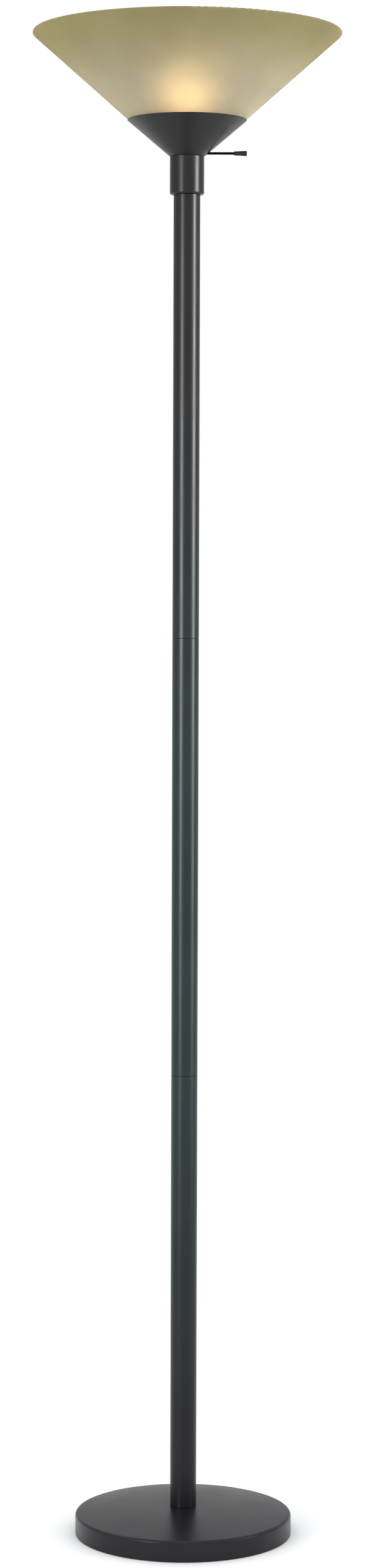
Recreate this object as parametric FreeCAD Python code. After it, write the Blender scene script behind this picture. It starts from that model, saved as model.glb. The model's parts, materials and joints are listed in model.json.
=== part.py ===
"""Torchiere floor lamp: weighted base, three-piece pole, glass bowl and lampholder.

Millimetres, +Z up.  The origin is the centre of the base, on the floor.  The switch
knob points along +X and the cord enters the base from the back, on the +Y side.
"""
import FreeCAD, Part
import math
import os

Vector = FreeCAD.Vector
X_AXIS = Vector(1, 0, 0)
Y_AXIS = Vector(0, 1, 0)
Z_AXIS = Vector(0, 0, 1)

# Base
BASE_RADIUS = 127.0
BASE_EDGE_HEIGHT = 25.0
BASE_CENTRE_HEIGHT = 33.0
BASE_EDGE_ROUND = 3.5
COVER_SHEET = 1.0
COVER_LIFT = 0.8
FELT_RADIUS = 121.0
FELT_TOP = 1.8
PLATE_RADIUS = 123.5
PLATE_TOP = 2.8
WEIGHT_RADIUS = 123.0
WEIGHT_TOP = 17.8
FOOT_SEAT_RADIUS = 17.0
PLATE_SCREWS = 3
PLATE_SCREW_CIRCLE = 90.0

# Cord entry and internal lead
CORD_HEIGHT = 9.0
GLAND_BORE = 3.2
GLAND_BODY = 5.1
LEAD_RADIUS = 2.2
LEAD_BEND = 6.0
CHANNEL_WIDTH = 9.0
CHANNEL_TOP = 14.0

# Threaded hardware, 1/8 IP size, drawn plain with thread clearance
NIPPLE_RADIUS = 4.9
NIPPLE_BORE = 3.3
THREAD_HOLE = 4.95
CLEAR_HOLE = 5.3
NUT_ACROSS_FLATS = 16.0
NUT_HEIGHT = 5.0

# Pole
POLE_RADIUS = 15.4
POLE_WALL = 0.8
POLE_FOOT = BASE_CENTRE_HEIGHT
POLE_TOP = 1564.0
POLE_SECTIONS = ("lower", "middle", "upper")
SECTION_LENGTH = (POLE_TOP - POLE_FOOT) / len(POLE_SECTIONS)
INSERT_LENGTH = 18.0
FIT_GAP = 0.05

# Neck, cup and glass shade
COLLAR_RADIUS = 19.8
COLLAR_WALL = 1.0
COLLAR_FLOOR = 2.0
COLLAR_TOP = 1608.0
CUP_SHEET = 0.6
CUP_FOOT_RADIUS = 20.0
CUP_RIM_RADIUS = 69.0
CUP_RIM_HEIGHT = 1649.5
CUP_HOLE = 17.8
SHADE_EDGE_RADIUS = 178.6
SHADE_EDGE_HEIGHT = 1747.8
SHADE_GLASS = 4.0
SHADE_RIM_ROUND = 1.9
SHADE_RADIUS_AT_CUP = 67.3
SHADE_FLOOR = 1633.5
SHADE_HOLE = 20.6
SUPPORT_SHEET = 1.0
GASKET_HEIGHT = 1.5

# Lampholder
HOLDER_BASE = 1586.0
HOLDER_SEAM = 1600.0
HOLDER_TOP = 1652.0
HOLDER_RADIUS = 17.0
HOLDER_BORE = 15.2
CAP_RADIUS = 17.6
INSULATOR_BOTTOM = 1618.2
INSULATOR_TOP = 1621.2
SCREW_SHELL_BORE = 13.4
SCREW_SHELL_TOP = 1650.0
TERMINAL_SHEET = 0.6
TERMINAL_FACE = 11.0
TERMINAL_BOTTOM = 1602.5
TERMINAL_SCREW_HEIGHT = 1607.0
RIVET_PLACE = 5.3

# Switch, turning about X
SWITCH_HEIGHT = 1611.5
STEM_RADIUS = 1.5
STEM_BORE = 1.56
KNOB_FOOT_RADIUS = 2.3
KNOB_RADIUS = 3.1
KNOB_START = 54.0
KNOB_END = 69.0
ROTOR_RADIUS = 5.2
WIPER_RADIUS = 5.7
LEAF_SHEET = 0.5
LEAF_GAP = 0.4

# Bulb, medium screw cap
BULB_TIP = 1624.4
BULB_CAP_RADIUS = 13.05
BULB_CAP_TOP = 1648.0
BULB_NECK_RADIUS = 12.0
BULB_RADIUS = 25.0
BULB_CENTRE = 1686.0
BULB_WALL = 0.8
FILAMENT_HEIGHT = 1674.0


# ---------------------------------------------------------------- shape helpers

def cylinder(radius, z0, z1, x=0.0, y=0.0):
    return Part.makeCylinder(radius, z1 - z0, Vector(x, y, z0), Z_AXIS)


def ring(outer, inner, z0, z1):
    return cylinder(outer, z0, z1).cut(cylinder(inner, z0 - 1, z1 + 1))


def rod_along_x(radius, x0, x1, z=SWITCH_HEIGHT):
    return Part.makeCylinder(radius, x1 - x0, Vector(x0, 0, z), X_AXIS)


def rod_along_y(radius, y0, y1, x, z):
    return Part.makeCylinder(radius, y1 - y0, Vector(x, y0, z), Y_AXIS)


def block(x0, x1, y0, y1, z0, z1):
    return Part.makeBox(x1 - x0, y1 - y0, z1 - z0, Vector(x0, y0, z0))


def rounded_wire(corners):
    """Closed wire in the XZ plane; a third value in a corner is its rounding radius."""
    joins = []
    for index, corner in enumerate(corners):
        here = Vector(corner[0], 0, corner[1])
        before = Vector(corners[index - 1][0], 0, corners[index - 1][1])
        following = corners[(index + 1) % len(corners)]
        after = Vector(following[0], 0, following[1])
        radius = corner[2] if len(corner) > 2 else 0.0
        joins.append(corner_join(before, here, after, radius))
    edges = []
    for index, join in enumerate(joins):
        if len(join) == 3:
            edges.append(Part.Arc(*join).toShape())
        start = join[-1]
        end = joins[(index + 1) % len(joins)][0]
        if start.distanceToPoint(end) > 1e-6:
            edges.append(Part.LineSegment(start, end).toShape())
    return Part.Wire(edges)


def corner_join(before, here, after, radius):
    """The points that a corner contributes: itself, or the three points of its arc."""
    if radius == 0:
        return [here]
    back = (before - here).normalize()
    ahead = (after - here).normalize()
    half_angle = back.getAngle(ahead) / 2
    reach = radius / math.tan(half_angle)
    bisector = (back + ahead).normalize()
    centre = here + bisector * (radius / math.sin(half_angle))
    return [here + back * reach, centre - bisector * radius, here + ahead * reach]


def turned(corners):
    """Solid turned about Z from (radius, height) corners."""
    return Part.Face(rounded_wire(corners)).revolve(Vector(), Z_AXIS, 360)


def bent_strip(corners, width):
    """Strip drawn in the XZ plane and widened evenly to both sides in Y."""
    face = Part.Face(rounded_wire(corners))
    face.translate(Vector(0, -width / 2, 0))
    return face.extrude(Vector(0, width, 0))


def swept_lead(points, radius, bend):
    """Round lead through the points, with its corners bent to one radius."""
    path = [Vector(*point) for point in points]
    edges = []
    start = path[0]
    for before, here, after in zip(path, path[1:], path[2:]):
        arc_start, arc_middle, arc_end = corner_join(before, here, after, bend)
        edges.append(Part.LineSegment(start, arc_start).toShape())
        edges.append(Part.Arc(arc_start, arc_middle, arc_end).toShape())
        start = arc_end
    edges.append(Part.LineSegment(start, path[-1]).toShape())
    circle = Part.Edge(Part.Circle(path[0], path[1] - path[0], radius))
    return Part.Wire(edges).makePipeShell([Part.Wire([circle])], True, True)


def hexagon_nut(z0, height, across_flats=NUT_ACROSS_FLATS, hole=THREAD_HOLE):
    corner = across_flats / math.sqrt(3)
    points = []
    for step in range(7):
        angle = math.radians(60 * step)
        points.append(Vector(corner * math.cos(angle), corner * math.sin(angle), z0))
    body = Part.Face(Part.makePolygon(points)).extrude(Vector(0, 0, height))
    return body.cut(cylinder(hole, z0 - 1, z0 + height + 1))


def split_washer(z0, thickness, outer=8.6, hole=THREAD_HOLE):
    gap = block(0, outer + 1, -0.7, 0.7, z0 - 1, z0 + thickness + 1)
    return ring(outer, hole, z0, z0 + thickness).cut(gap)


# ---------------------------------------------------------------- base

def dome_height(radius):
    """Height of the cover's outer face: flat in the middle, then falling as an arc."""
    run = BASE_RADIUS - BASE_EDGE_ROUND - FOOT_SEAT_RADIUS
    drop = BASE_CENTRE_HEIGHT - BASE_EDGE_HEIGHT
    sphere = (run * run + drop * drop) / (2 * drop)
    across = max(radius - FOOT_SEAT_RADIUS, 0.0)
    return BASE_CENTRE_HEIGHT - sphere + math.sqrt(sphere * sphere - across * across)


def base_blank(inset):
    """Solid of the cover's outer face, moved inwards by the sheet thickness."""
    edge = BASE_RADIUS - BASE_EDGE_ROUND
    middle = (edge + FOOT_SEAT_RADIUS) / 2
    rise = [Vector(r, 0, dome_height(r) - inset) for r in (FOOT_SEAT_RADIUS, middle, edge)]
    turn = BASE_EDGE_ROUND - inset
    centre = Vector(edge, 0, rise[-1].z - turn)
    bend = [centre + Vector(math.cos(a) * turn, 0, math.sin(a) * turn)
            for a in (math.pi / 2, math.pi / 4, 0)]
    floor = Vector(bend[-1].x, 0, COVER_LIFT if inset == 0 else COVER_LIFT - 1)
    edges = [
        Part.LineSegment(Vector(0, 0, floor.z), Vector(0, 0, rise[0].z)).toShape(),
        Part.LineSegment(Vector(0, 0, rise[0].z), rise[0]).toShape(),
        Part.Arc(*rise).toShape(),
        Part.Arc(*bend).toShape(),
        Part.LineSegment(bend[-1], floor).toShape(),
        Part.LineSegment(floor, Vector(0, 0, floor.z)).toShape(),
    ]
    return Part.Face(Part.Wire(edges)).revolve(Vector(), Z_AXIS, 360)


def base_cover():
    shell = base_blank(0).cut(base_blank(COVER_SHEET))
    shell = shell.cut(cylinder(CLEAR_HOLE, 0, POLE_FOOT + 1))
    wall = rod_along_y(GLAND_BODY + 0.1, BASE_RADIUS - 10, BASE_RADIUS + 1, 0, CORD_HEIGHT)
    return shell.cut(wall)


def base_weight():
    """Cast-iron disc with a centre boss, nut recess, cord channel and screw holes."""
    boss_top = POLE_FOOT - COVER_SHEET
    weight = turned([
        (0, PLATE_TOP), (WEIGHT_RADIUS, PLATE_TOP, 1.0), (WEIGHT_RADIUS, WEIGHT_TOP, 4.0),
        (36, WEIGHT_TOP, 6.0), (FOOT_SEAT_RADIUS, boss_top), (0, boss_top)])
    weight = weight.cut(cylinder(CLEAR_HOLE, 0, boss_top + 1))
    weight = weight.cut(cylinder(16, 0, 24))
    half = CHANNEL_WIDTH / 2
    weight = weight.cut(block(-half, half, 0, WEIGHT_RADIUS + 1, 0, CHANNEL_TOP))
    weight = weight.cut(block(-8, 8, 112, WEIGHT_RADIUS + 1, 0, WEIGHT_TOP + 1))
    for x, y in plate_screw_places():
        weight = weight.cut(cylinder(1.65, 0, 14, x, y))
    return weight


def plate_screw_places():
    """Centres of the screws: none lies over the cord channel."""
    angles = [math.radians(30 + 360 / PLATE_SCREWS * index) for index in range(PLATE_SCREWS)]
    return [(PLATE_SCREW_CIRCLE * math.cos(a), PLATE_SCREW_CIRCLE * math.sin(a)) for a in angles]


def countersunk_screw(x, y, oversize=0.0):
    """Screw through the bottom plate, with its head flush with the plate."""
    head = Part.makeCone(3.0 + oversize, 1.6 + oversize, 1.0, Vector(x, y, FELT_TOP), Z_AXIS)
    return head.fuse(cylinder(1.6 + oversize, FELT_TOP, 12.0, x, y))


def base_plate():
    plate = cylinder(PLATE_RADIUS, FELT_TOP, PLATE_TOP)
    for x, y in plate_screw_places():
        plate = plate.cut(countersunk_screw(x, y, FIT_GAP))
    return plate


def cord_gland():
    """Bushing in the rear wall: a sleeve, an outer flange and the cord's bore."""
    body = rod_along_y(GLAND_BODY, BASE_RADIUS - 6.0, BASE_RADIUS + 1.0, 0, CORD_HEIGHT)
    flange = rod_along_y(7.5, BASE_RADIUS + 0.1, BASE_RADIUS + 2.2, 0, CORD_HEIGHT)
    outer_edge = [edge for edge in flange.Edges if edge.BoundBox.YMin > BASE_RADIUS + 2.1]
    flange = flange.makeFillet(0.8, outer_edge[:1])
    inner_lip = rod_along_y(6.6, BASE_RADIUS - 3.5, BASE_RADIUS - 1.7, 0, CORD_HEIGHT)
    whole = body.fuse([flange, inner_lip])
    bore = rod_along_y(GLAND_BORE, BASE_RADIUS - 10, BASE_RADIUS + 10, 0, CORD_HEIGHT)
    return whole.cut(bore).removeSplitter()


def base_parts():
    parts = {
        "base_felt": cylinder(FELT_RADIUS, 0, FELT_TOP),
        "base_plate": base_plate(),
        "base_weight": base_weight(),
        "base_cover": base_cover(),
        "cord_gland": cord_gland(),
        "base_nipple": ring(NIPPLE_RADIUS, NIPPLE_BORE, 15.2, POLE_FOOT + 16),
        "base_nut": hexagon_nut(16.2, NUT_HEIGHT),
        "base_lock_washer": split_washer(21.2, 1.4),
        "base_flat_washer": ring(12.0, THREAD_HOLE, 22.6, 24.0),
    }
    for index, (x, y) in enumerate(plate_screw_places(), 1):
        parts["base_plate_screw_%d" % index] = countersunk_screw(x, y)
    return parts


# ---------------------------------------------------------------- pole

def pole_tube(z0, z1):
    """One tube with a hairline chamfer at each end, which shows as the seam."""
    inner = POLE_RADIUS - POLE_WALL
    chamfer = 0.35
    return turned([
        (inner, z0), (POLE_RADIUS - chamfer, z0), (POLE_RADIUS, z0 + chamfer),
        (POLE_RADIUS, z1 - chamfer), (POLE_RADIUS - chamfer, z1), (inner, z1)])


def end_insert(z0):
    return ring(POLE_RADIUS - POLE_WALL - FIT_GAP, THREAD_HOLE, z0, z0 + INSERT_LENGTH)


def pole_parts():
    parts = {}
    for index, name in enumerate(POLE_SECTIONS):
        z0 = POLE_FOOT + SECTION_LENGTH * index
        z1 = z0 + SECTION_LENGTH
        parts["pole_%s_tube" % name] = pole_tube(z0, z1)
        parts["pole_%s_foot_insert" % name] = end_insert(z0)
        parts["pole_%s_head_insert" % name] = end_insert(z1 - INSERT_LENGTH)
        if index:
            reach = INSERT_LENGTH - 2
            parts["pole_coupler_%d" % index] = ring(NIPPLE_RADIUS, NIPPLE_BORE, z0 - reach, z0 + reach)
    return parts


# ---------------------------------------------------------------- neck and shade

def neck_collar():
    inner = COLLAR_RADIUS - COLLAR_WALL
    floor = POLE_TOP + COLLAR_FLOOR
    return turned([
        (CLEAR_HOLE, POLE_TOP), (COLLAR_RADIUS, POLE_TOP, 2.6), (COLLAR_RADIUS, COLLAR_TOP, 0.8),
        (inner, COLLAR_TOP), (inner, floor, 0.6), (CLEAR_HOLE, floor)])


def cup_slope():
    return (CUP_RIM_RADIUS - CUP_FOOT_RADIUS) / (CUP_RIM_HEIGHT - COLLAR_TOP)


def shade_slope():
    return (SHADE_EDGE_RADIUS - SHADE_RADIUS_AT_CUP) / (SHADE_EDGE_HEIGHT - CUP_RIM_HEIGHT)


def sheet_across(sheet, slope):
    """Level thickness of a sloping wall that is `sheet` thick at right angles."""
    return sheet * math.sqrt(1 + slope * slope)


def cup_inner_radius(z):
    across = sheet_across(CUP_SHEET, cup_slope())
    return CUP_FOOT_RADIUS + (z - COLLAR_TOP) * cup_slope() - across


def shade_outer_radius(z):
    return SHADE_RADIUS_AT_CUP + (z - CUP_RIM_HEIGHT) * shade_slope()


def shade_cup():
    """Spun cone with a flat floor ring, and a hole at the side for the switch stem."""
    floor = COLLAR_TOP + CUP_SHEET
    cone = turned([
        (CUP_HOLE, COLLAR_TOP), (CUP_FOOT_RADIUS, COLLAR_TOP, 0.5),
        (CUP_RIM_RADIUS, CUP_RIM_HEIGHT, 0.12), (cup_inner_radius(CUP_RIM_HEIGHT), CUP_RIM_HEIGHT),
        (cup_inner_radius(floor), floor), (CUP_HOLE, floor)])
    return cone.cut(rod_along_x(2.3, 21.5, 40))


def shade_support():
    """Disc with a sloping edge that wedges in the cup and carries the glass."""
    top = SHADE_FLOOR - GASKET_HEIGHT
    bottom = top - SUPPORT_SHEET
    play = 0.1
    return turned([
        (CUP_HOLE, bottom), (cup_inner_radius(bottom) - play, bottom),
        (cup_inner_radius(top) - play, top), (CUP_HOLE, top)])


def glass_shade():
    """Glass bowl: a cone with a flat holed floor and a round rim, square to the wall.

    The rounded rim is 355.6 across and 1750 above the floor.
    """
    across = sheet_across(SHADE_GLASS, shade_slope())
    wall_angle = math.atan(shade_slope())
    inner_edge_radius = SHADE_EDGE_RADIUS - SHADE_GLASS * math.cos(wall_angle)
    inner_edge_height = SHADE_EDGE_HEIGHT + SHADE_GLASS * math.sin(wall_angle)
    floor_top = SHADE_FLOOR + SHADE_GLASS
    return turned([
        (SHADE_HOLE, SHADE_FLOOR, 0.6), (shade_outer_radius(SHADE_FLOOR), SHADE_FLOOR, 6.0),
        (SHADE_EDGE_RADIUS, SHADE_EDGE_HEIGHT, SHADE_RIM_ROUND),
        (inner_edge_radius, inner_edge_height, SHADE_RIM_ROUND),
        (shade_outer_radius(floor_top) - across, floor_top, 3.0), (SHADE_HOLE, floor_top, 0.6)])


def shade_ring():
    """Threaded ring that clamps the glass, with a knurl cut around its flange."""
    z0 = SHADE_FLOOR + SHADE_GLASS
    body = turned([
        (HOLDER_RADIUS + 0.8, z0), (26.0, z0), (26.0, z0 + 2.4, 0.6), (20.6, z0 + 2.4, 0.8),
        (20.6, z0 + 7, 0.6), (HOLDER_RADIUS + 0.8, z0 + 7)])
    notches = 24
    for index in range(notches):
        angle = 2 * math.pi * index / notches
        x, y = 26.6 * math.cos(angle), 26.6 * math.sin(angle)
        body = body.cut(cylinder(1.2, z0 - 1, z0 + 3, x, y))
    return body


def neck_and_shade_parts():
    floor = POLE_TOP + COLLAR_FLOOR
    gasket_bottom = SHADE_FLOOR - GASKET_HEIGHT
    return {
        "neck_collar": neck_collar(),
        "neck_nipple": ring(NIPPLE_RADIUS, NIPPLE_BORE, POLE_TOP - 16, HOLDER_BASE + 2.5),
        "neck_flat_washer": ring(12.0, THREAD_HOLE, floor, floor + 1.2),
        "neck_lock_washer": split_washer(floor + 1.2, 1.4),
        "neck_nut": hexagon_nut(floor + 2.6, NUT_HEIGHT),
        "shade_cup": shade_cup(),
        "shade_support": shade_support(),
        "shade_gasket": ring(38.0, SHADE_HOLE, gasket_bottom, SHADE_FLOOR),
        "glass_shade": glass_shade(),
        "shade_ring": shade_ring(),
    }


# ---------------------------------------------------------------- lampholder

def socket_cap():
    """Drawn cap with a threaded neck; the outer shell drops into it."""
    return turned([
        (THREAD_HOLE, HOLDER_BASE - 6), (8.0, HOLDER_BASE - 6, 0.6), (8.0, HOLDER_BASE, 0.6),
        (CAP_RADIUS, HOLDER_BASE, 2.2), (CAP_RADIUS, HOLDER_SEAM), (CAP_RADIUS - 0.9, HOLDER_SEAM),
        (CAP_RADIUS - 0.9, HOLDER_BASE + 1.2, 1.3), (THREAD_HOLE, HOLDER_BASE + 1.2)])


def socket_shell():
    """Moulded outer shell with a skirt below and the clamping ring's thread above."""
    corners = [
        (HOLDER_BORE, HOLDER_SEAM - 5), (CAP_RADIUS - 1.0, HOLDER_SEAM - 5),
        (CAP_RADIUS - 1.0, HOLDER_SEAM), (HOLDER_RADIUS, HOLDER_SEAM)]
    pitch = 2.2
    ridges = 7
    z = HOLDER_TOP - 2 - pitch * ridges
    for _ in range(ridges):
        corners.append((HOLDER_RADIUS, z))
        corners.append((HOLDER_RADIUS + 0.55, z + pitch / 2, 0.3))
        z += pitch
    corners.append((HOLDER_RADIUS, z))
    corners.append((HOLDER_RADIUS, HOLDER_TOP, 0.8))
    corners.append((HOLDER_BORE, HOLDER_TOP, 0.5))
    return turned(corners).cut(rod_along_x(2.65, 10, 20))


def socket_insulator():
    """Moulded block: a disc, two terminal posts and the switch's inner bearing."""
    disc = cylinder(HOLDER_BORE - FIT_GAP, INSULATOR_BOTTOM, INSULATOR_TOP)
    post_bottom = TERMINAL_BOTTOM + 0.5
    pieces = [block(-4, 2, 6.6, TERMINAL_FACE, post_bottom, INSULATOR_BOTTOM),
              block(-4, 4, -TERMINAL_FACE, -6.6, post_bottom, INSULATOR_BOTTOM),
              block(-3.4, 0.6, -3, 3, SWITCH_HEIGHT - 4, INSULATOR_BOTTOM)]
    body = disc.fuse(pieces)
    body = body.cut(rod_along_x(STEM_BORE, -5, 2))
    slot_outer = TERMINAL_FACE + TERMINAL_SHEET
    body = body.cut(block(-3, 3, -slot_outer, -TERMINAL_FACE, INSULATOR_BOTTOM, INSULATOR_TOP))
    body = body.cut(rivet_hole())
    body = body.cut(rod_along_y(1.4, 8, 12, -0.5, TERMINAL_SCREW_HEIGHT))
    return body.cut(rod_along_y(1.4, -12, -8, -0.5, TERMINAL_SCREW_HEIGHT))


def socket_screw_shell():
    outer = SCREW_SHELL_BORE + 0.5
    return turned([
        (8.5, INSULATOR_TOP), (outer, INSULATOR_TOP, 0.8), (outer, SCREW_SHELL_TOP),
        (SCREW_SHELL_BORE, SCREW_SHELL_TOP), (SCREW_SHELL_BORE, INSULATOR_TOP + 0.5, 0.3),
        (8.5, INSULATOR_TOP + 0.5)])


def centre_contact():
    """Springy brass tongue: flat at its rivet, rising to meet the bulb's tip."""
    base = INSULATOR_TOP
    top = BULB_TIP - 0.35
    tongue = bent_strip([
        (7.4, base), (3.2, base, 2.0), (-0.5, top - LEAF_SHEET, 2.0), (-4.5, top - 1.4),
        (-4.5, top - 0.9), (-0.6, top, 2.4), (3.5, base + LEAF_SHEET, 1.6),
        (7.4, base + LEAF_SHEET)], 5.0)
    return tongue.cut(rivet_hole())


def rivet_hole():
    return cylinder(1.0, INSULATOR_BOTTOM - 2, INSULATOR_TOP + 2, RIVET_PLACE)


def socket_rivet():
    """Rivet that joins the centre contact to the switch's upper leaf."""
    head = INSULATOR_TOP + LEAF_SHEET
    shank = cylinder(0.98, INSULATOR_BOTTOM - LEAF_SHEET, head, RIVET_PLACE)
    return shank.fuse(cylinder(1.3, head, head + 0.5, RIVET_PLACE)).removeSplitter()


def line_terminal():
    """Strip for the live wire, with the leaf that the switch's wiper meets."""
    face = TERMINAL_FACE
    plate = block(-3, 7, face, face + TERMINAL_SHEET, TERMINAL_BOTTOM, 1612.0)
    leaf_top = SWITCH_HEIGHT - WIPER_RADIUS - LEAF_GAP
    leaf = block(3, 7, -4, face, leaf_top - LEAF_SHEET, leaf_top)
    screw_hole = rod_along_y(1.4, face - 1, face + 2, -0.5, TERMINAL_SCREW_HEIGHT)
    return plate.fuse(leaf).cut(screw_hole).removeSplitter()


def neutral_terminal():
    """Strip for the neutral wire, up through the insulator to the screw shell."""
    face = TERMINAL_FACE
    plate = block(-3, 3, -face - TERMINAL_SHEET, -face, TERMINAL_BOTTOM, INSULATOR_TOP)
    return plate.cut(rod_along_y(1.4, -face - 2, -face + 1, -0.5, TERMINAL_SCREW_HEIGHT))


def terminal_screw(side):
    """Slotted screw that clamps a wire against a terminal; side is +1 or -1 in Y."""
    x, z = -0.5, TERMINAL_SCREW_HEIGHT
    face = TERMINAL_FACE + TERMINAL_SHEET
    shank = rod_along_y(1.35, 8.4, face, x, z)
    head = rod_along_y(2.6, face, face + 1.5, x, z)
    slot = block(x - 3, x + 3, face + 0.9, face + 2, z - 0.4, z + 0.4)
    screw = shank.fuse(head).cut(slot).removeSplitter()
    if side < 0:
        screw = screw.mirror(Vector(), Y_AXIS)
    return screw


def lampholder_parts():
    load_leaf = block(1, 8, -2.5, 2.5, INSULATOR_BOTTOM - LEAF_SHEET, INSULATOR_BOTTOM)
    return {
        "socket_cap": socket_cap(),
        "socket_shell": socket_shell(),
        "socket_insulator": socket_insulator(),
        "socket_screw_shell": socket_screw_shell(),
        "socket_centre_contact": centre_contact(),
        "socket_rivet": socket_rivet(),
        "line_terminal": line_terminal(),
        "neutral_terminal": neutral_terminal(),
        "line_terminal_screw": terminal_screw(1),
        "neutral_terminal_screw": terminal_screw(-1),
        "switch_load_leaf": load_leaf.cut(rivet_hole()),
    }


# ---------------------------------------------------------------- switch

def switch_bushing():
    """Sleeve through the shell's wall that the stem turns in."""
    sleeve = rod_along_x(2.6, 11.0, 20.0).fuse(rod_along_x(3.8, 12.0, 14.0))
    return sleeve.cut(rod_along_x(STEM_BORE, 0, 30)).removeSplitter()


def switch_rotor():
    """Insulating drum on the stem's inner end, with a pin for the inner bearing."""
    drum = rod_along_x(ROTOR_RADIUS, 1.0, 9.0).fuse(rod_along_x(STEM_RADIUS, -3.0, 1.0))
    return drum.cut(rod_along_x(STEM_RADIUS, 5.0, 9.0)).removeSplitter()


def switch_wiper():
    """Brass band around the drum that bridges the two leaves over part of a turn."""
    band = rod_along_x(WIPER_RADIUS, 3.0, 7.0).cut(rod_along_x(ROTOR_RADIUS, 2.0, 8.0))
    gap = block(2, 8, 0.0, 7.0, SWITCH_HEIGHT - 3.0, SWITCH_HEIGHT + 3.0)
    return band.cut(gap)


def switch_stem():
    return rod_along_x(STEM_RADIUS, 5.0, KNOB_START + 8)


def switch_knob():
    """Slim knob that widens towards its rounded end, with grip flutes near that end."""
    length = KNOB_END - KNOB_START
    knob = turned([
        (0, 0), (KNOB_FOOT_RADIUS, 0, 0.5), (KNOB_RADIUS, length, 1.4), (0, length)])
    flutes = 8
    flute_circle = KNOB_RADIUS + 0.15
    for index in range(flutes):
        angle = 2 * math.pi * index / flutes
        x, y = flute_circle * math.cos(angle), flute_circle * math.sin(angle)
        knob = knob.cut(cylinder(0.45, 5.0, length - 2.0, x, y))
    knob = knob.cut(cylinder(STEM_RADIUS, -1, 8))
    knob.rotate(Vector(), Y_AXIS, 90)
    knob.translate(Vector(KNOB_START, 0, SWITCH_HEIGHT))
    return knob


def switch_parts():
    return {
        "switch_bushing": switch_bushing(),
        "switch_rotor": switch_rotor(),
        "switch_wiper": switch_wiper(),
        "switch_stem": switch_stem(),
        "switch_knob": switch_knob(),
    }


# ---------------------------------------------------------------- bulb

def bulb_cap():
    """Screw cap: rolled ridges outside, plain inside, closing in at the bottom."""
    pitch = 3.2
    ridges = 5
    root = BULB_CAP_RADIUS - 0.6
    z = BULB_TIP + 5.2
    corners = [(9.4, BULB_TIP + 2.6), (root, z)]
    for _ in range(ridges):
        corners.append((BULB_CAP_RADIUS, z + pitch / 2, 0.8))
        corners.append((root, z + pitch))
        z += pitch
    corners.append((root + 0.2, BULB_CAP_TOP))
    corners.append((BULB_NECK_RADIUS, BULB_CAP_TOP))
    corners.append((BULB_NECK_RADIUS, BULB_TIP + 5.4))
    corners.append((8.9, BULB_TIP + 3.0))
    return turned(corners)


def bulb_outline(inset):
    """Edges of the envelope from its neck to its top, moved inwards by `inset`."""
    radius = BULB_RADIUS - inset
    neck = BULB_NECK_RADIUS - FIT_GAP - inset
    foot = Vector(neck, 0, BULB_CAP_TOP - 6)
    blend = Vector(neck, 0, BULB_CAP_TOP + 4)
    cut_angle = math.radians(-30)
    shoulder = Vector(radius * math.cos(cut_angle), 0, BULB_CENTRE + radius * math.sin(cut_angle))
    curve = Part.BezierCurve()
    along = Vector(math.sin(cut_angle), 0, -math.cos(cut_angle))
    curve.setPoles([blend, blend + Vector(0, 0, 12), shoulder + along * 11, shoulder])
    side = Vector(radius * math.cos(math.radians(30)), 0, BULB_CENTRE + radius * 0.5)
    top = Vector(0, 0, BULB_CENTRE + radius)
    return [Part.LineSegment(foot, blend).toShape(), curve.toShape(),
            Part.Arc(shoulder, side, top).toShape()]


def bulb_glass():
    outside = bulb_outline(0)
    inside = bulb_outline(BULB_WALL)
    neck = Vector(BULB_NECK_RADIUS - FIT_GAP, 0, BULB_CAP_TOP - 6)
    crown = Vector(0, 0, BULB_CENTRE + BULB_RADIUS)
    foot_edge = Part.LineSegment(neck, neck - Vector(BULB_WALL, 0, 0)).toShape()
    crown_edge = Part.LineSegment(crown, crown - Vector(0, 0, BULB_WALL)).toShape()
    edges = Part.__sortEdges__(outside + inside + [foot_edge, crown_edge])
    return Part.Face(Part.Wire(edges)).revolve(Vector(), Z_AXIS, 360)


def bulb_parts():
    """The bulb, from its contact up; its inner pieces stand inside the envelope."""
    mount_foot = BULB_CAP_TOP - 6
    tip = turned([(0, BULB_TIP), (3.6, BULB_TIP, 1.4), (4.6, BULB_TIP + 2.0), (0, BULB_TIP + 2.0)])
    insulator = turned([
        (0, BULB_TIP + 2.0), (5.0, BULB_TIP + 2.0), (8.85, BULB_TIP + 3.1), (8.85, BULB_TIP + 5.4),
        (0, BULB_TIP + 5.4)])
    mount = turned([
        (0, mount_foot), (11.0, mount_foot), (10.4, mount_foot + 1.6), (3.2, mount_foot + 9, 3.0),
        (2.4, FILAMENT_HEIGHT - 16, 0.8), (0, FILAMENT_HEIGHT - 16)])
    parts = {
        "bulb_glass": bulb_glass(),
        "bulb_cap": bulb_cap(),
        "bulb_cap_insulator": insulator,
        "bulb_tip_contact": tip,
    }
    wire_foot = FILAMENT_HEIGHT - 20
    reach = 9.0
    wires = []
    for side in (-1, 1):
        points = [(side * 1.2, 0, wire_foot), (side * 1.2, 0, wire_foot + 6),
                  (side * reach, 0, FILAMENT_HEIGHT - 3), (side * reach, 0, FILAMENT_HEIGHT + 0.6)]
        wires.append(swept_lead(points, 0.35, 1.5))
    parts["bulb_wires"] = Part.makeCompound(wires)
    parts["bulb_mount"] = mount.cut(wires)
    parts["bulb_filament"] = Part.makeCylinder(
        0.6, 2 * (reach - 0.4), Vector(0.4 - reach, 0, FILAMENT_HEIGHT), X_AXIS)
    return parts


# ---------------------------------------------------------------- wiring

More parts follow.
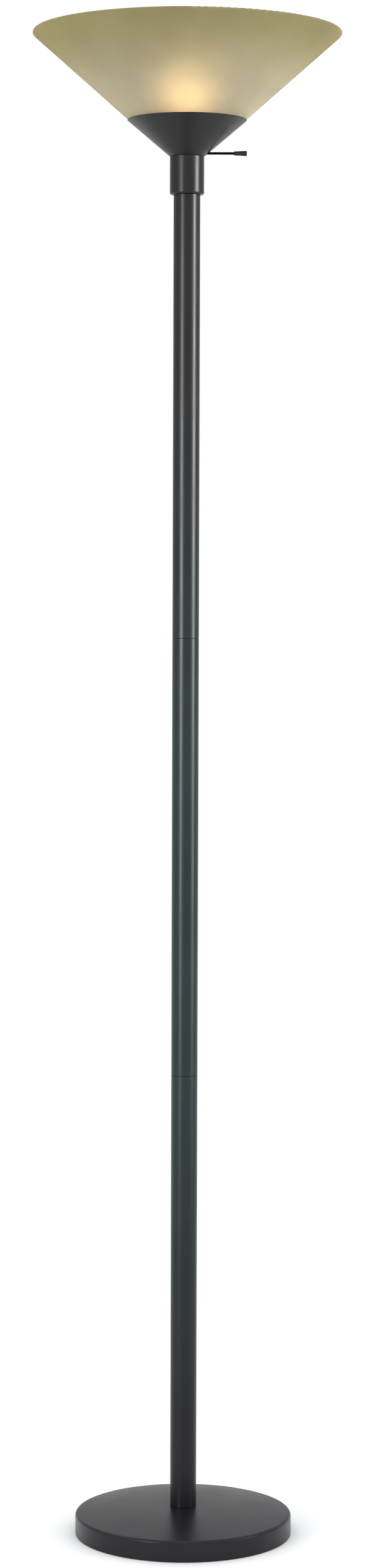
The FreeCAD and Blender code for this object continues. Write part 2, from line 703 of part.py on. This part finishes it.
def wiring_parts():
    """Lead from the cord bushing through the pole, and its two tails at the top."""
    lead_end = HOLDER_BASE + 3.0
    lead = swept_lead([(0, 120, CORD_HEIGHT), (0, 0, CORD_HEIGHT), (0, 0, lead_end)],
                      LEAD_RADIUS, LEAD_BEND)
    parts = {"inner_lead": lead}
    for name, side in (("line", 1), ("neutral", -1)):
        points = [(0, side * 1.1, lead_end), (0, side * 1.1, lead_end + 4),
                  (0, side * 13.2, lead_end + 9), (-0.5, side * 13.2, TERMINAL_SCREW_HEIGHT - 3.2)]
        parts["%s_tail" % name] = swept_lead(points, 0.9, 2.0)
    return parts


def main():
    parts = {}
    for group in (base_parts, pole_parts, neck_and_shade_parts, lampholder_parts,
                  switch_parts, bulb_parts, wiring_parts):
        parts.update(group())
    os.makedirs("parts", exist_ok=True)
    for name, shape in parts.items():
        shape.exportStep("parts/%s.step" % name)


main()
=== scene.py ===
"""Looks of the torchiere floor lamp: materials, studio light and camera."""
import json
import math

import bpy
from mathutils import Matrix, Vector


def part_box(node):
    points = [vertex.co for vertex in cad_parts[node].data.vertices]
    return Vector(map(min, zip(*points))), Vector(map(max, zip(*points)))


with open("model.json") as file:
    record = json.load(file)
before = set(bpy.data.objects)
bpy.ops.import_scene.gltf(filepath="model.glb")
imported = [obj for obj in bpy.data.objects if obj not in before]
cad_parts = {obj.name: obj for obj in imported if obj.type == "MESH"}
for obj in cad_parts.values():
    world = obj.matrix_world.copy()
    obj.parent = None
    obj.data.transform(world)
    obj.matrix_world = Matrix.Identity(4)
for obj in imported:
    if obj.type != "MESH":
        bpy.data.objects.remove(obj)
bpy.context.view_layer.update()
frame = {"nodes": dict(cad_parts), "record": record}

# Camera: a little above the middle of the lamp, looking slightly down.
CAMERA_DISTANCE = 3.981
CAMERA_HEIGHT = 1.119
CAMERA_ASIDE = -0.0021
CAMERA_PITCH = math.radians(3.379)
CAMERA_ROLL = math.radians(-0.17)
CAMERA_LENS = 78.65

# Light panels: name, degrees to the right of the camera, distance from the pole, lower and
# upper edge, width, radiance.  Each side is split by height so that its reflection fades
# down the pole.  Grids narrow the panels' light, to keep most of it off the floor.
PANELS = [
    ("right_top", 71.0, 2.4, 1.05, 2.6, 0.75, 39.0),
    ("right_foot", 71.0, 2.4, 0.35, 1.05, 0.75, 12.0),
    ("left_top", -39.0, 3.0, 1.65, 2.6, 0.85, 5.5),
    ("left_middle", -39.0, 3.0, 0.95, 1.65, 0.85, 33.5),
    ("left_foot", -39.0, 3.0, 0.25, 0.95, 0.85, 15.5),
]
PANEL_SPREAD = math.radians(50)

# Brightness of the room towards the camera, behind the lamp, and how much more overhead.
ROOM_FRONT = 0.95
ROOM_BACK = 0.72
ROOM_ABOVE = 0.45
FLOOR_HALF = 6.0

# Colours at the foot, along the middle and at the head of the lamp, with the heights that they hold at;
# the colour is made greener along the middle.
PAINT_AT_FOOT = (0.0072, 0.0068, 0.0092)
MIDDLE_GREEN = (0.0074, 0.0178, 0.0180)
PAINT_AT_HEAD = (0.0072, 0.0070, 0.0078)
COLOUR_HEIGHTS = [(0.128, PAINT_AT_FOOT), (0.496, MIDDLE_GREEN), (0.88, MIDDLE_GREEN), (1.344, PAINT_AT_HEAD)]
PAINT_REACH = 1.6

# The glass colour is painted lighter near its floor, where the bulb's light is strongest (painted bulb
# light), and turns darker amber from this far above its floor up to its rim.
GLASS_GLOW_FADE_START = 0.03

# The bulb's brightest spot is this far above its filament.
GLOW_RISE = 0.011

# Moulded pieces: darkest and lightest tone, roughness, specular level.
MOULDINGS = {
    "black_plastic": (0.006, 0.011, 0.32, 0.25),
    "holder_plastic": (0.010, (0.018, 0.017, 0.016), 0.50, 0.5),
    "holder_insulation": ((0.24, 0.19, 0.14), (0.32, 0.27, 0.20), 0.55, 0.5),
    "bulb_black_glass": (0.010, (0.02, 0.02, 0.022), 0.15, 0.5),
    "lead_sheath": (0.010, 0.016, 0.50, 0.5),
    "line_wire": (0.010, 0.016, 0.45, 0.5),
    "neutral_wire": ((0.55, 0.54, 0.51), (0.66, 0.65, 0.61), 0.45, 0.5),
}

# Bare metals: darkest and lightest tone, roughness, fineness of the marks along each axis.
METALS = {
    "black_steel": (0.004, 0.008, 0.42, (12, 1, 1)),
    "holder_brass": ((0.55, 0.38, 0.14), (0.68, 0.50, 0.22), 0.28, (1, 1, 12)),
    "bulb_aluminium": ((0.60, 0.60, 0.61), (0.72, 0.72, 0.73), 0.30, (1, 1, 12)),
    "solder": (0.50, 0.62, 0.35, (1, 1, 1)),
    "nickel_wire": ((0.50, 0.47, 0.42), (0.62, 0.59, 0.54), 0.30, (1, 1, 6)),
}


# ---------------------------------------------------------------- node helpers

class Surface:
    """One material's node tree around a Principled shader."""

    def __init__(self, name):
        self.material = bpy.data.materials.new(name)
        self.material.use_nodes = True
        self.tree = self.material.node_tree
        self.tree.nodes.clear()
        self.output = self.add("ShaderNodeOutputMaterial")
        self.shader = self.add("ShaderNodeBsdfPrincipled")
        self.link(self.shader.outputs[0], self.output.inputs["Surface"])
        self.place = self.add("ShaderNodeTexCoord").outputs["Object"]

    def add(self, kind, **settings):
        node = self.tree.nodes.new(kind)
        for name, value in settings.items():
            setattr(node, name, value)
        return node

    def link(self, source, target):
        self.tree.links.new(source, target)

    def set(self, **values):
        """Plain values on the shader; underscores stand for the spaces in a socket's name."""
        for name, value in values.items():
            self.shader.inputs[name.replace("_", " ")].default_value = value
        return self

    def stretched(self, scale):
        """Object coordinates multiplied along each axis."""
        node = self.add("ShaderNodeVectorMath", operation="MULTIPLY")
        self.link(self.place, node.inputs[0])
        node.inputs[1].default_value = scale
        return node.outputs[0]

    def noise(self, scale, detail=4.0, roughness=0.55, along=(1, 1, 1)):
        node = self.add("ShaderNodeTexNoise")
        node.inputs["Scale"].default_value = scale
        node.inputs["Detail"].default_value = detail
        node.inputs["Roughness"].default_value = roughness
        self.link(self.stretched(along), node.inputs["Vector"])
        return node.outputs["Fac"]

    def cells(self, scale, along=(1, 1, 1)):
        node = self.add("ShaderNodeTexVoronoi")
        node.inputs["Scale"].default_value = scale
        self.link(self.stretched(along), node.inputs["Vector"])
        return node.outputs["Distance"]

    def ramp(self, value, stops):
        """Colour or grey from a value; stops are (position, colour)."""
        node = self.add("ShaderNodeValToRGB")
        band = node.color_ramp
        while len(band.elements) < len(stops):
            band.elements.new(0.5)
        for element, (position, colour) in zip(band.elements, stops):
            element.position = position
            if isinstance(colour, (int, float)):
                colour = (colour, colour, colour)
            element.color = (*colour, 1)
        self.link(value, node.inputs["Fac"])
        return node.outputs["Color"]

    def remap(self, value, low, high, to_low, to_high, smooth=True):
        node = self.add("ShaderNodeMapRange")
        node.interpolation_type = "SMOOTHSTEP" if smooth else "LINEAR"
        node.inputs["From Min"].default_value = low
        node.inputs["From Max"].default_value = high
        node.inputs["To Min"].default_value = to_low
        node.inputs["To Max"].default_value = to_high
        self.link(value, node.inputs["Value"])
        return node.outputs["Result"]

    def height(self):
        node = self.add("ShaderNodeSeparateXYZ")
        self.link(self.place, node.inputs[0])
        return node.outputs["Z"]

    def distance_from(self, point):
        node = self.add("ShaderNodeVectorMath", operation="DISTANCE")
        self.link(self.place, node.inputs[0])
        node.inputs[1].default_value = point
        return node.outputs["Value"]

    def blend(self, factor, first, second):
        """Mix of two colours by a factor output; each colour is an output or a triple."""
        node = self.add("ShaderNodeMix", data_type="RGBA")
        self.link(factor, node.inputs["Factor"])
        for colour, socket in ((first, node.inputs[6]), (second, node.inputs[7])):
            if isinstance(colour, tuple):
                socket.default_value = (*colour, 1)
            else:
                self.link(colour, socket)
        return node.outputs[2]

    def scaled(self, colour, factor):
        node = self.add("ShaderNodeVectorMath", operation="SCALE")
        self.link(colour, node.inputs[0])
        self.link(factor, node.inputs["Scale"])
        return node.outputs[0]

    def bump(self, value, strength, distance):
        node = self.add("ShaderNodeBump")
        node.inputs["Strength"].default_value = strength
        node.inputs["Distance"].default_value = distance
        self.link(value, node.inputs["Height"])
        self.link(node.outputs[0], self.shader.inputs["Normal"])

    def drive(self, socket, source):
        self.link(source, self.shader.inputs[socket])

    def mottle(self, pattern, dark, light, socket="Base Color"):
        """Colour that wanders between two tones with a pattern."""
        self.drive(socket, self.ramp(pattern, [(0.3, dark), (0.7, light)]))

    def roughen(self, pattern, smooth, rough):
        """Roughness that wanders between two values with a pattern."""
        self.drive("Roughness", self.remap(pattern, 0.3, 0.7, smooth, rough))


# ---------------------------------------------------------------- materials

def bronze_paint():
    """Baked satin enamel, almost black; its colour is made greener along the middle of the pole."""
    s = Surface("bronze_paint").set(Specular_IOR_Level=0.27, Metallic=0.0)
    up = s.remap(s.height(), 0.0, PAINT_REACH, 0.0, 1.0, smooth=False)
    tone = s.ramp(up, [(height / PAINT_REACH, colour) for height, colour in COLOUR_HEIGHTS])
    s.drive("Base Color", s.scaled(tone, s.remap(s.noise(9.0, 3.0), 0.3, 0.7, 0.85, 1.15)))
    marks = s.noise(22.0, 3.0, 0.5)
    s.drive("Roughness", s.remap(marks, 0.3, 0.75, 0.29, 0.34))
    s.bump(s.noise(700.0, 2.0), 0.03, 0.0002)
    return s.material


def plated_steel():
    """Zinc-plated steel with fine turning marks."""
    s = Surface("zinc_steel").set(Metallic=1.0)
    s.mottle(s.noise(60.0), (0.46, 0.46, 0.44), (0.60, 0.60, 0.57))
    lines = s.noise(120.0, 4.0, 0.6, (0.3, 0.3, 18.0))
    s.roughen(lines, 0.28, 0.45)
    s.bump(lines, 0.15, 0.0003)
    return s.material


def cast_iron():
    """Iron as it comes from a sand mould."""
    s = Surface("iron_casting").set(Metallic=0.6)
    s.mottle(s.noise(45.0, 6.0), (0.05, 0.047, 0.043), (0.12, 0.11, 0.10))
    s.roughen(s.noise(160.0), 0.6, 0.85)
    s.bump(s.noise(420.0, 6.0, 0.65), 0.6, 0.001)
    return s.material


def felt():
    """Pressed felt: short matted fibres."""
    s = Surface("felt_pad").set(Sheen_Weight=0.4, Sheen_Roughness=0.5, Roughness=0.95)
    fibres = s.noise(520.0, 8.0, 0.75, (1.0, 3.0, 1.0))
    s.drive("Base Color", s.ramp(fibres, [(0.3, 0.012), (0.75, 0.045)]))
    s.bump(fibres, 0.7, 0.001)
    return s.material


def moulded(name, dark, light, rough, specular):
    """Moulded plastic or phenolic with a fine spark-eroded texture."""
    s = Surface(name).set(Specular_IOR_Level=specular)
    s.mottle(s.noise(70.0), dark, light)
    s.roughen(s.noise(220.0), rough - 0.05, rough + 0.08)
    s.bump(s.cells(1600.0), 0.12, 0.0002)
    return s.material


def metal(name, dark, light, rough, along):
    """Bare metal with drawing or turning marks."""
    s = Surface(name).set(Metallic=1.0)
    s.mottle(s.noise(50.0), dark, light)
    lines = s.noise(200.0, 4.0, 0.6, along)
    s.roughen(lines, rough - 0.06, rough + 0.08)
    s.bump(lines, 0.10, 0.0002)
    return s.material


def amber_glass():
    """Amber glass, acid-etched: it blurs what is behind it and glows where the bulb is near, partly from
    the lit bulb behind it and partly from painted light: its colour is lighter low down, near the bulb.
    """
    s = Surface("amber_glass").set(Transmission_Weight=0.9, IOR=1.3, Specular_IOR_Level=0.35)
    height = s.height()
    low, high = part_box("glass_shade")[0][2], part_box("glass_shade")[1][2]
    cloud = s.noise(14.0, 5.0, 0.6)
    # Painted bulb light: the glass colour is lighter low down, near the bulb, and darker amber towards the
    # rim.
    painted_lit_low = s.ramp(cloud, [(0.3, (0.56, 0.515, 0.395)), (0.7, (0.64, 0.59, 0.455))])
    dim_high = s.ramp(cloud, [(0.3, (0.355, 0.315, 0.152)), (0.7, (0.42, 0.375, 0.198))])
    glow_fade = s.remap(height, low + GLASS_GLOW_FADE_START, high, 0.0, 1.0)
    s.drive("Base Color", s.blend(glow_fade, painted_lit_low, dim_high))
    s.roughen(s.noise(90.0), 0.82, 0.88)
    s.bump(s.noise(1400.0, 3.0), 0.08, 0.0002)
    return s.material


def gasket():
    """Milky silicone rubber."""
    s = Surface("silicone_gasket").set(Subsurface_Weight=0.3, Subsurface_Scale=0.002)
    s.mottle(s.noise(80.0), (0.52, 0.51, 0.48), (0.62, 0.61, 0.57))
    s.roughen(s.noise(200.0), 0.40, 0.55)
    return s.material


def lit_bulb():
    """Frosted envelope, lit: brightest around its globe, dimmer and warmer down its neck."""
    s = Surface("lit_bulb").set(Base_Color=(0.30, 0.28, 0.25, 1), Roughness=0.4)
    low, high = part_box("bulb_filament")
    centre = ((low[0] + high[0]) / 2, (low[1] + high[1]) / 2, high[2] + GLOW_RISE)
    near = s.distance_from(centre)
    away = s.remap(near, 0.0, 0.045, 0.0, 1.0)
    s.drive("Emission Color", s.ramp(away, [(0.5, (1.0, 0.76, 0.46)), (0.85, (1.0, 0.60, 0.28))]))
    s.drive("Emission Strength", s.remap(near, 0.022, 0.038, 3.5, 0.9))
    s.bump(s.noise(1500.0), 0.05, 0.0001)
    return s.material


def clear_glass():
    """Flame-worked glass of the bulb's stem."""
    s = Surface("clear_glass").set(Transmission_Weight=1.0, IOR=1.5)
    s.mottle(s.noise(60.0), (0.90, 0.93, 0.91), (0.96, 0.98, 0.97))
    s.roughen(s.noise(150.0), 0.02, 0.06)
    return s.material


def tungsten():
    """The glowing filament."""
    s = Surface("tungsten").set(Metallic=1.0, Roughness=0.4, Emission_Strength=30.0)
    s.mottle(s.noise(900.0), (1.0, 0.62, 0.28), (1.0, 0.80, 0.48), "Emission Color")
    return s.material


def all_materials():
    materials = {
        "bronze_paint": bronze_paint(),
        "felt_pad": felt(),
        "iron_casting": cast_iron(),
        "zinc_steel": plated_steel(),
        "amber_glass": amber_glass(),
        "silicone_gasket": gasket(),
        "lit_bulb": lit_bulb(),
        "clear_glass": clear_glass(),
        "tungsten": tungsten(),
    }
    for name, look in MOULDINGS.items():
        materials[name] = moulded(name, *look)
    for name, look in METALS.items():
        materials[name] = metal(name, *look)
    return materials


def dress_nodes():
    """Gives every carried-over node the material of its slot."""
    materials = all_materials()
    for part in frame["record"]["subparts"]:
        slots = frame["nodes"][part["node"]].data.materials
        slots.clear()
        slots.append(materials[part["material_slot"]])


# ---------------------------------------------------------------- studio

def floor():
    """Plain pale floor under the lamp."""
    half = FLOOR_HALF
    mesh = bpy.data.meshes.new("studio_floor")
    corners = [(-half, -half, 0), (half, -half, 0), (half, half, 0), (-half, half, 0)]
    mesh.from_pydata(corners, [], [(0, 1, 2, 3)])
    plane = bpy.data.objects.new("studio_floor", mesh)
    bpy.context.scene.collection.objects.link(plane)
    s = Surface("studio_floor").set(Roughness=0.9, Specular_IOR_Level=0.1)
    s.mottle(s.noise(2.0), 0.90, 0.93)
    mesh.materials.append(s.material)


def softbox(name, bearing, distance, bottom, top, width, radiance):
    """Upright gridded panel at a bearing (degrees right of the camera) from the pole."""
    lamp = bpy.data.lights.new(name, "AREA")
    lamp.shape = "RECTANGLE"
    lamp.size = width
    lamp.size_y = top - bottom
    half = PANEL_SPREAD / 2
    lamp.spread = PANEL_SPREAD
    lamp.energy = radiance * math.pi * width * (top - bottom) * (1 - half / math.tan(half))
    holder = bpy.data.objects.new(name, lamp)
    bpy.context.scene.collection.objects.link(holder)
    angle = math.radians(bearing)
    holder.location = (distance * math.sin(angle), -distance * math.cos(angle), (top + bottom) / 2)
    holder.rotation_euler = (math.radians(90), 0, angle)


def surroundings():
    """White behind the lamp to the camera; a pale room, brightest above, to all else."""
    world = bpy.data.worlds.new("studio")
    world.use_nodes = True
    tree = world.node_tree
    tree.nodes.clear()

    def link(source, target):
        tree.links.new(source, target)

    def remap(value, low, high, to_low, to_high):
        node = tree.nodes.new("ShaderNodeMapRange")
        node.interpolation_type = "SMOOTHSTEP"
        limits = {"From Min": low, "From Max": high, "To Min": to_low, "To Max": to_high}
        for name, number in limits.items():
            node.inputs[name].default_value = number
        link(value, node.inputs["Value"])
        return node.outputs["Result"]

    direction = tree.nodes.new("ShaderNodeSeparateXYZ")
    link(tree.nodes.new("ShaderNodeTexCoord").outputs["Generated"], direction.inputs[0])
    level = tree.nodes.new("ShaderNodeMath")
    level.operation = "ADD"
    link(remap(direction.outputs["Y"], -0.3, 0.5, ROOM_FRONT, ROOM_BACK), level.inputs[0])
    link(remap(direction.outputs["Z"], 0.3, 0.8, 0.0, ROOM_ABOVE), level.inputs[1])
    around = tree.nodes.new("ShaderNodeBackground")
    around.inputs["Color"].default_value = (0.98, 0.99, 1.0, 1)
    link(level.outputs[0], around.inputs["Strength"])
    seen = tree.nodes.new("ShaderNodeBackground")
    seen.inputs["Color"].default_value = (1, 1, 1, 1)
    mix = tree.nodes.new("ShaderNodeMixShader")
    link(tree.nodes.new("ShaderNodeLightPath").outputs["Is Camera Ray"], mix.inputs[0])
    link(around.outputs[0], mix.inputs[1])
    link(seen.outputs[0], mix.inputs[2])
    link(mix.outputs[0], tree.nodes.new("ShaderNodeOutputWorld").inputs["Surface"])
    bpy.context.scene.world = world


def camera():
    lens = bpy.data.cameras.new("camera")
    lens.lens = CAMERA_LENS
    lens.clip_start = 0.05
    lens.clip_end = 60.0
    holder = bpy.data.objects.new("camera", lens)
    bpy.context.scene.collection.objects.link(holder)
    holder.location = (CAMERA_ASIDE, -CAMERA_DISTANCE, CAMERA_HEIGHT)
    holder.rotation_euler = (math.radians(90) - CAMERA_PITCH, CAMERA_ROLL, 0)
    bpy.context.scene.camera = holder


def studio():
    surroundings()
    floor()
    for panel in PANELS:
        softbox(*panel)
    camera()
    bpy.context.scene.view_settings.view_transform = "Standard"


dress_nodes()
studio()
